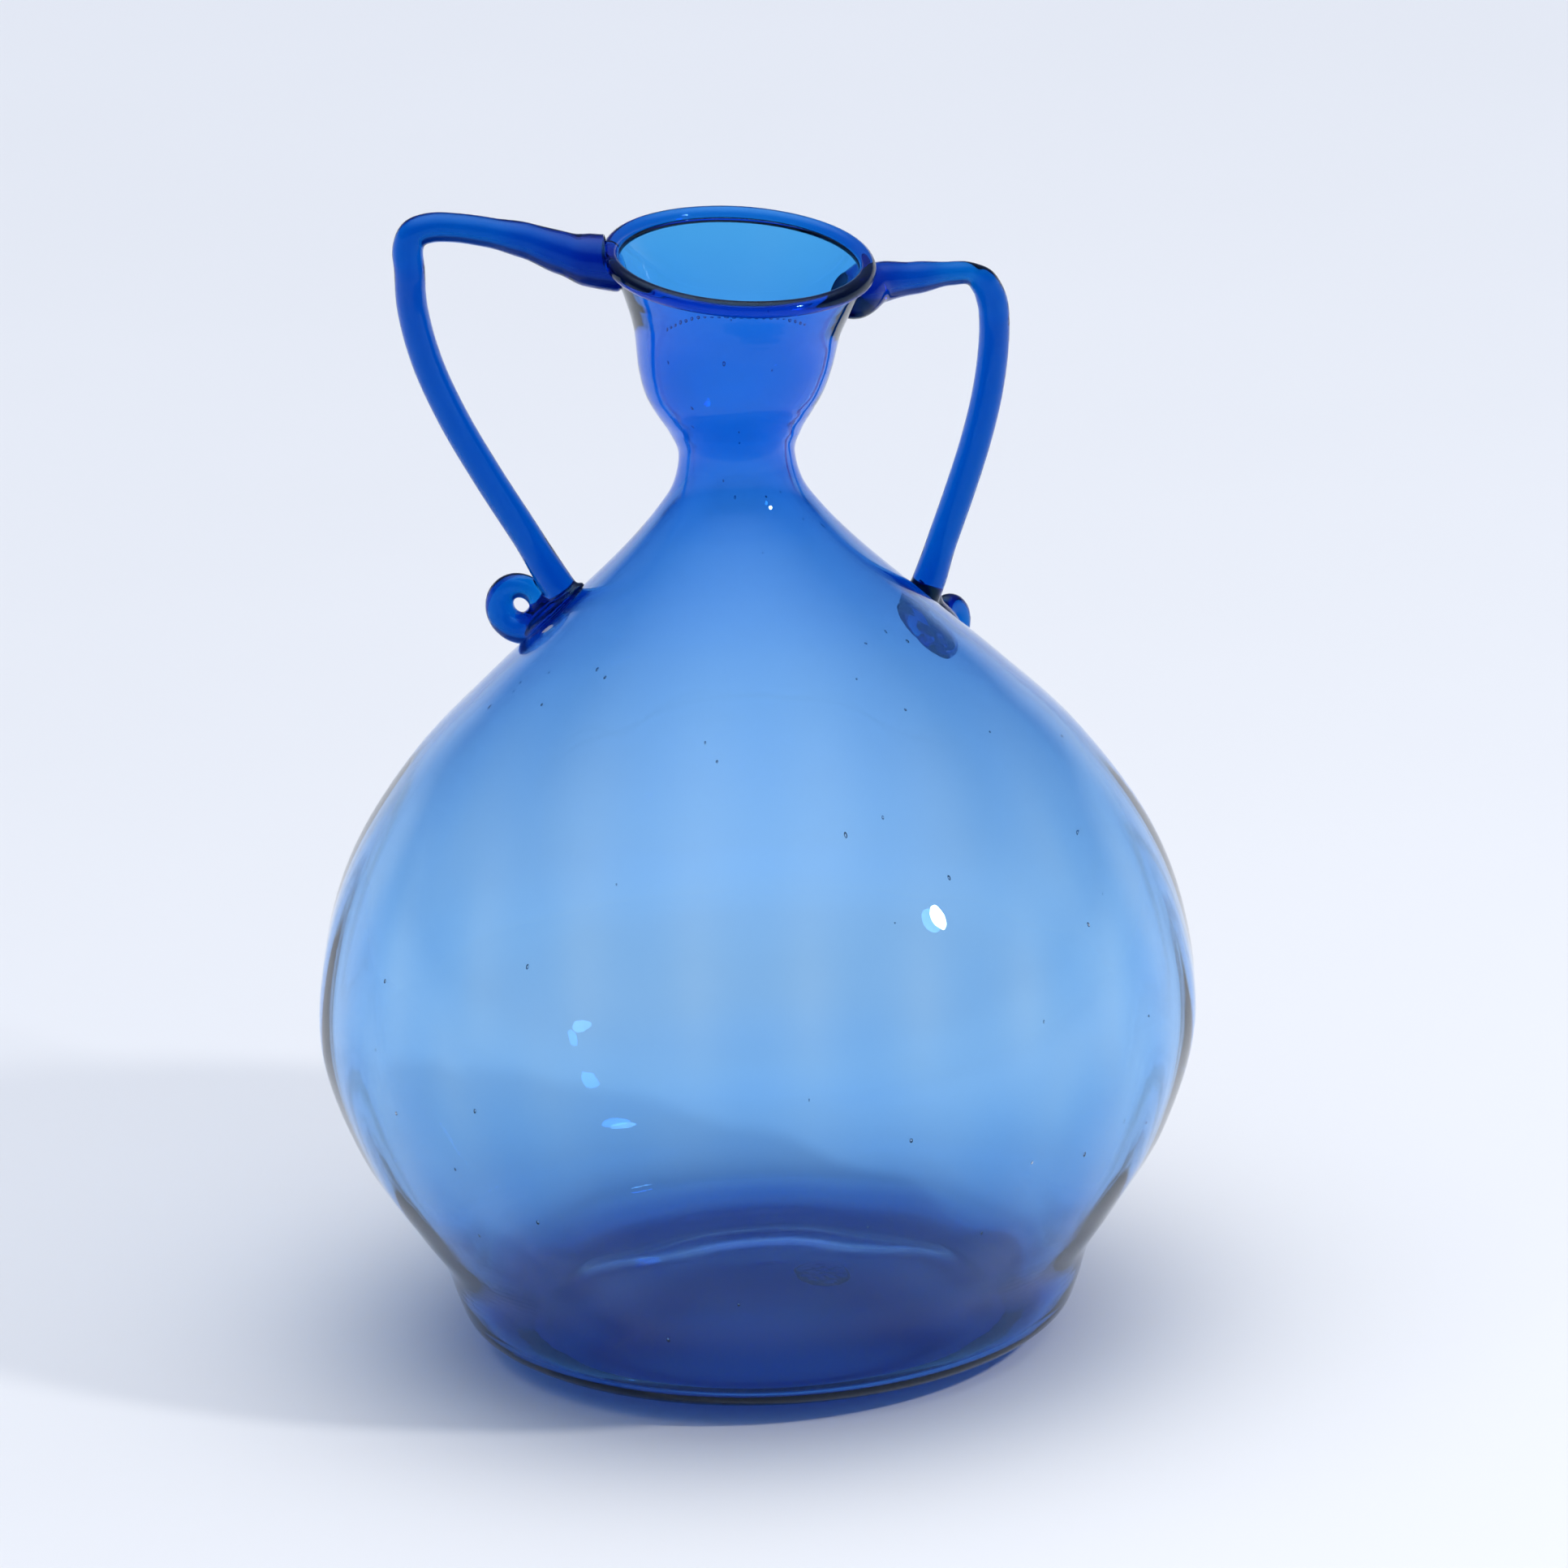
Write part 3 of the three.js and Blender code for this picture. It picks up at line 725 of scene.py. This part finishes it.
floor_finish.add("OutputMaterial", {}, {"Surface": floor_finish.add("BsdfPrincipled", {}, {
    "Base Color": floor_finish.blend(floor_mottle, (0.80, 0.80, 0.79, 1.0), (0.84, 0.84, 0.83, 1.0)),
    "Roughness": 0.75, "Specular IOR Level": 0.2})})
floor_data.materials.append(floor_finish.material)

sky = bpy.data.worlds.new("studio")
sky.use_nodes = True
sky.node_tree.nodes.clear()
look = Finish.node(sky.node_tree, "TexCoord")
rise = Finish.node(sky.node_tree, "SeparateXYZ", {}, {"Vector": look}, out=2)
dome = Finish.node(sky.node_tree, "ValToRGB", {"stops": [
    (0.00, (0.80, 0.82, 0.84)), (0.10, (0.62, 0.67, 0.75)), (0.22, (0.06, 0.12, 0.30)),
    (0.62, (0.15, 0.21, 0.36)), (1.00, (1.0, 1.0, 1.0))]}, {0: rise})
glow = Finish.node(sky.node_tree, "MapRange", {}, {0: rise, 1: 0.62, 2: 0.95, 3: 1.0, 4: 2.7})
seen = Finish.node(sky.node_tree, "LightPath")
ground = Finish.node(sky.node_tree, "Mix", {"data_type": "RGBA"},
                     {0: seen, 6: dome, 7: (0.88, 0.89, 0.90, 1.0)}, out=2)
Finish.node(sky.node_tree, "OutputWorld", {}, {
    "Surface": Finish.node(sky.node_tree, "Background", {}, {"Color": ground, "Strength": glow})})
bpy.context.scene.world = sky
bpy.context.scene.view_settings.view_transform = "Standard"
bpy.context.scene.cycles.max_bounces = bpy.context.scene.cycles.transmission_bounces = 22

TARGET = Vector((0, 0, 0.150))
KEY_PLACE = Vector((1.30, -0.81, 1.26))
KEY_SIZE, KEY_POWER = 0.17, 12.0
key_data = bpy.data.lights.new("key", "AREA")
key_data.shape, key_data.size, key_data.energy = "DISK", KEY_SIZE, KEY_POWER
key_data.color = (1.0, 0.98, 0.95)
key = bpy.data.objects.new("key", key_data)
key.location = KEY_PLACE
key.rotation_mode = "QUATERNION"
key.rotation_quaternion = (TARGET - KEY_PLACE).to_track_quat("-Z", "Y")
bpy.context.collection.objects.link(key)

DISTANCE, ELEVATION, ROLL = 4.0, math.radians(19.2), math.radians(2.2)
lens = bpy.data.cameras.new("camera")
lens.sensor_width, lens.lens = 36.0, 331.9
lens.shift_x, lens.shift_y = 0.0213, 0.0185
camera = bpy.data.objects.new("camera", lens)
bpy.context.collection.objects.link(camera)
back = Vector((0, -math.cos(ELEVATION), math.sin(ELEVATION)))
upward = Vector((0, math.sin(ELEVATION), math.cos(ELEVATION)))
right = Vector((1, 0, 0))
rolled_up = upward * math.cos(ROLL) + right * math.sin(ROLL)
rolled_right = right * math.cos(ROLL) - upward * math.sin(ROLL)
turn = Matrix((rolled_right, rolled_up, back)).transposed().to_4x4()
turn.translation = TARGET + back * DISTANCE
camera.matrix_world = turn
lens.clip_end = 60.0
bpy.context.scene.camera = camera
